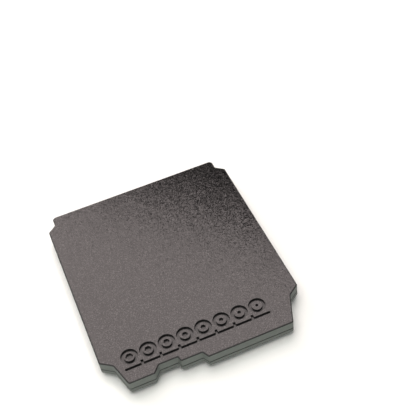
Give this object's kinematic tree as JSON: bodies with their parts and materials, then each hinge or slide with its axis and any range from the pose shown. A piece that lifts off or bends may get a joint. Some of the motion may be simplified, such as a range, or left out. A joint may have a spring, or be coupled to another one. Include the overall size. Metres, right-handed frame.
{
  "type": "camera rear body cap",
  "caption": "Flat protective cap for the rear of a medium-format camera body: layered plate with stepped corners, notched edge, engraved iris row and locking studs.",
  "frame": {"origin": "middle of the cap's box in X and Y, at the height of the stud tips that it rests on", "axes": "+Z out of the engraved outer face, +Y to the straight back edge, +X to the right along the notched front edge"},
  "size_m": [0.102, 0.118, 0.0106],
  "materials": {
    "cover_plastic": "fine pebble grain from a textured print bed on the outer face, fine print layers on the walls",
    "seating_plastic": "fine print layers, satin",
    "stud_plastic": "satin"
  },
  "bodies": {
    "root": {"cover_plate": "cover_plastic", "seating_plate": "seating_plastic", "lock_stud_front_left": "stud_plastic", "lock_stud_front_right": "stud_plastic", "lock_stud_back_left": "stud_plastic", "lock_stud_back_right": "stud_plastic"}
  },
  "joints": []
}
